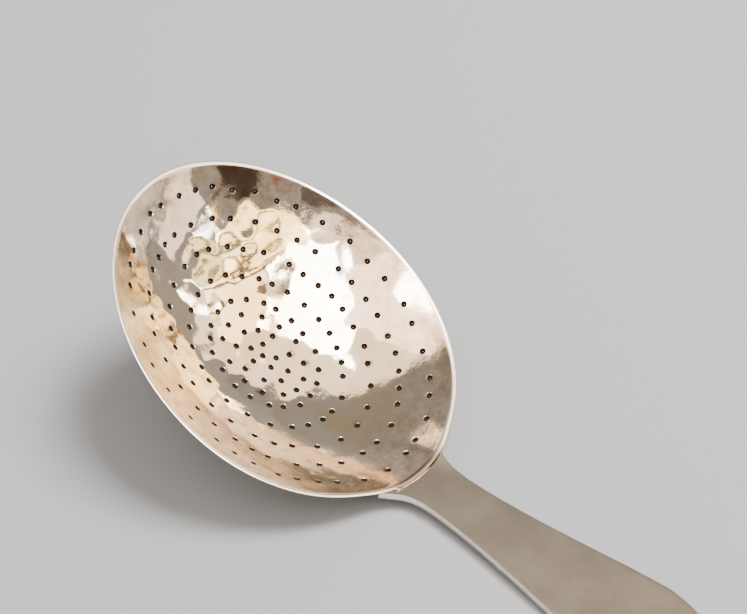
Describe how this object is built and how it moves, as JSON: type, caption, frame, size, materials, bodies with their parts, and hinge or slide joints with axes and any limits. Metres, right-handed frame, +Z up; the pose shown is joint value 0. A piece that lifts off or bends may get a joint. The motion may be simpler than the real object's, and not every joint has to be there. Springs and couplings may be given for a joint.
{
  "type": "julep strainer",
  "caption": "Oval pierced strainer bowl on a flat paddle handle, for straining a stirred drink or loose tea.",
  "frame": {"origin": "on the table, under the middle of the strainer's box as it lies at rest on its belly and its handle's end", "axes": "+X along the strainer towards the handle's end, +Z up from the table, +Y across the bowl"},
  "size_m": [0.159, 0.0728, 0.0448],
  "materials": {
    "polished_silver": "polished",
    "satin_silver": "satin",
    "silver_solder": "satin"
  },
  "bodies": {
    "root": {"strainer_bowl": "polished_silver", "handle": "satin_silver", "solder_bead": "silver_solder"}
  },
  "joints": []
}
